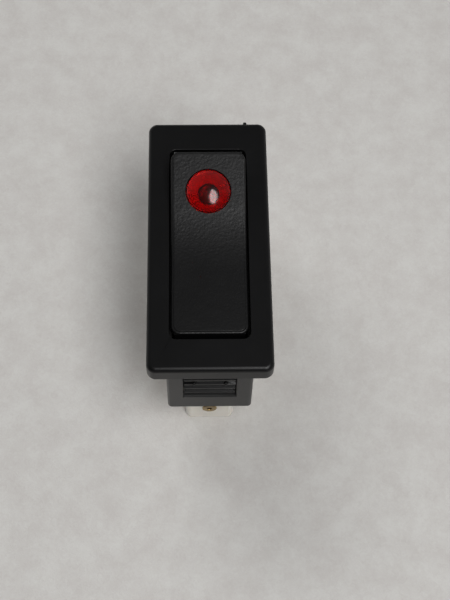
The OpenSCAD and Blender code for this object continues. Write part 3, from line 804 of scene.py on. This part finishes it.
@dataclass(frozen=True)
class Softbox:
    """A rectangular lamp that faces the switch.

    towards is its direction from the switch, along is the direction of its longer side.
    """

    name: str
    towards: Vector
    along: Vector
    distance: float
    width: float
    length: float
    watts: float
    mirrored: bool = True

    def build(self) -> None:
        """Makes the lamp."""
        data = bpy.data.lights.new(self.name, "AREA")
        data.shape = "ELLIPSE"
        data.size = self.width
        data.size_y = self.length
        data.energy = self.watts
        back = self.towards.normalized()
        side = self.along.cross(back).normalized()
        lamp = bpy.data.objects.new(self.name, data)
        lamp.visible_glossy = self.mirrored
        lamp.visible_transmission = self.mirrored
        turn = Matrix((side, back.cross(side), back)).transposed().to_4x4()
        lamp.matrix_world = Matrix.Translation(back * self.distance) @ turn
        bpy.context.scene.collection.objects.link(lamp)


@dataclass
class Studio:
    """The pale floor, the lamps, the room's own light and the camera."""

    floor_z: float
    floor_radius: float = 14.0
    floor_colour: Colour = (0.6, 0.585, 0.565)
    lamps: tuple[Softbox, ...] = (
        Softbox("key", Vector((0.28, -0.41, 0.868)), Vector((0, 0.9, 0.43)), 0.6, 0.26, 0.5, 2.6),
        Softbox("far_fill", Vector((-0.35, 0.7, 0.62)), Vector((1, 0, 0)), 0.75, 0.4, 0.6, 2.2, False),
    )

    def build(self) -> None:
        """Makes the floor, the lamps, the world and the camera."""
        self._floor()
        for lamp in self.lamps:
            lamp.build()
        self._world()
        CameraPlan().build()
        bpy.context.scene.view_settings.view_transform = "Standard"

    def _floor(self) -> None:
        """Makes a wide round floor with a faint screed."""
        mesh = bmesh.new()
        bmesh.ops.create_circle(mesh, cap_ends=True, segments=96, radius=self.floor_radius)
        bmesh.ops.translate(mesh, verts=mesh.verts, vec=(0, 0, self.floor_z))
        data = bpy.data.meshes.new("floor")
        mesh.to_mesh(data)
        mesh.free()
        floor = bpy.data.objects.new("floor", data)
        bpy.context.scene.collection.objects.link(floor)
        made = bpy.data.materials.new("pale_screed")
        made.use_nodes = True
        graph = Graph(made.node_tree)
        position = graph.add("TexCoord").outputs["Object"]
        cloud = graph.add("TexNoise", None, Vector=position, Scale=210.0, Detail=5.0, Roughness=0.66)
        fibre = graph.add("TexNoise", None, Vector=position, Scale=1300.0, Detail=3.0, Roughness=0.6, Distortion=1.4)
        both = graph.math("ADD", graph.math("MULTIPLY", cloud.outputs["Fac"], 0.6),
                          graph.math("MULTIPLY", fibre.outputs["Fac"], 0.4))
        share = graph.spread(both, 0.38, 0.62, 0.0, 1.0)
        warm = tuple(c * k for c, k in zip(self.floor_colour, (0.93, 0.915, 0.91)))
        cool = tuple(c * k for c, k in zip(self.floor_colour, (1.05, 1.06, 1.055)))
        colour = graph.mix_colour(share, rgba(warm), rgba(cool))
        bump = graph.add("Bump", None, Height=fibre.outputs["Fac"], Distance=0.05 * MM, Strength=1.0)
        shader = graph.add("BsdfPrincipled", None, Base_Color=colour, Roughness=0.6, Normal=bump.outputs[0])
        graph.add("OutputMaterial", None, Surface=shader.outputs[0])
        data.materials.append(made)

    def _world(self) -> None:
        """Lights the room: a pale horizon behind the switch, and dim air above it and in front."""
        world = bpy.data.worlds.new("room")
        world.use_nodes = True
        graph = Graph(world.node_tree)
        axes = graph.add("SeparateXYZ", None, Vector=graph.add("TexCoord").outputs["Generated"]).outputs
        behind = self._levels(graph, axes["Z"], ((0.0, 0.75), (0.12, 0.66), (0.25, 0.22), (0.6, 0.18), (0.85, 0.12), (1.0, 0.14)))
        before = self._levels(graph, axes["Z"], ((0.0, 0.2), (0.12, 0.05), (0.5, 0.04), (0.8, 0.08), (1.0, 0.14)))
        share = graph.add("MapRange", {"interpolation_type": "SMOOTHSTEP"}, Value=axes["Y"], From_Min=-0.35, From_Max=0.3)
        colour = graph.mix_colour(share.outputs["Result"], before, behind)
        back = graph.add("Background", None, Color=colour, Strength=1.0)
        graph.add("OutputWorld", None, Surface=back.outputs[0])
        bpy.context.scene.world = world


    @staticmethod
    def _levels(graph: Graph, height, steps: tuple[tuple[float, float], ...]) -> bpy.types.NodeSocket:
        """Adds a ramp of grey levels over a height.

        Args:
            graph: The world's graph.
            height: The socket with the height of the direction, from 0 at the horizon to 1 overhead.
            steps: Heights with their levels, the horizon first and overhead last.

        Returns:
            The ramp's colour.
        """
        ramp = graph.add("ValToRGB", None, Fac=height)
        stops = ramp.color_ramp.elements
        for stop, (_, level) in zip(stops, (steps[0], steps[-1])):
            stop.color = rgba((level, level, level))
        for position, level in steps[1:-1]:
            stops.new(position).color = rgba((level, level, level))
        return ramp.outputs["Color"]


def main() -> None:
    """Builds the studio and dresses the switch."""
    logging.basicConfig(level=logging.INFO, format="%(name)s: %(message)s")
    Studio(floor_z=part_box("terminal_base")[0].z).build()
    palette = Palette()
    for assembly in (Bezel, Housing, Connector, ContactArm, Rocker, Lens, Lamp):
        assembly(palette).build()


if __name__ == "__main__":
    main()
